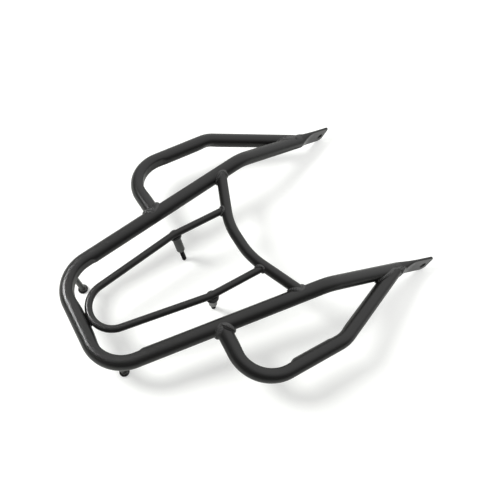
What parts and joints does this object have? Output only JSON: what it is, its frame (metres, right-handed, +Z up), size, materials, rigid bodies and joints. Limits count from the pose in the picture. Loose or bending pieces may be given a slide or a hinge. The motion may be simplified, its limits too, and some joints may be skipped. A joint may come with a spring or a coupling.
{
  "type": "motorcycle luggage rack",
  "caption": "Tubular steel luggage rack for a motorcycle's tail, with a deck of bent tube, grab handles at both sides, an inner rod loop, studs, posts and flattened mounting tabs.",
  "frame": {"origin": "centre of the bounding box at floor level, where the rack stands on its rear feet, studs and front tabs", "axes": "+X forwards, +Y to the left, +Z up; the deck slopes up forwards by its pitch"},
  "size_m": [0.5364, 0.4088, 0.0953],
  "materials": {
    "painted_tube": "satin black paint",
    "weld": "satin black paint over rippled weld beads",
    "stud": "black plated steel"
  },
  "bodies": {
    "root": {"main_frame_tube": "painted_tube", "cross_tube": "painted_tube", "inner_rod_loop": "painted_tube", "left_grab_handle": "painted_tube", "right_grab_handle": "painted_tube", "left_stud_flange": "painted_tube", "right_stud_flange": "painted_tube", "left_stud_sleeve": "painted_tube", "right_stud_sleeve": "painted_tube", "left_front_stud": "stud", "right_front_stud": "stud", "left_rear_post": "painted_tube", "right_rear_post": "painted_tube", "left_rear_foot": "painted_tube", "right_rear_foot": "painted_tube", "left_handle_rear_weld": "weld", "right_handle_rear_weld": "weld", "left_handle_front_weld": "weld", "right_handle_front_weld": "weld", "left_cross_tube_weld": "weld", "right_cross_tube_weld": "weld", "left_rod_weld": "weld", "right_rod_weld": "weld", "rod_tail_weld": "weld", "left_flange_weld": "weld", "right_flange_weld": "weld", "left_post_weld": "weld", "right_post_weld": "weld", "left_foot_weld": "weld", "right_foot_weld": "weld"}
  },
  "joints": []
}
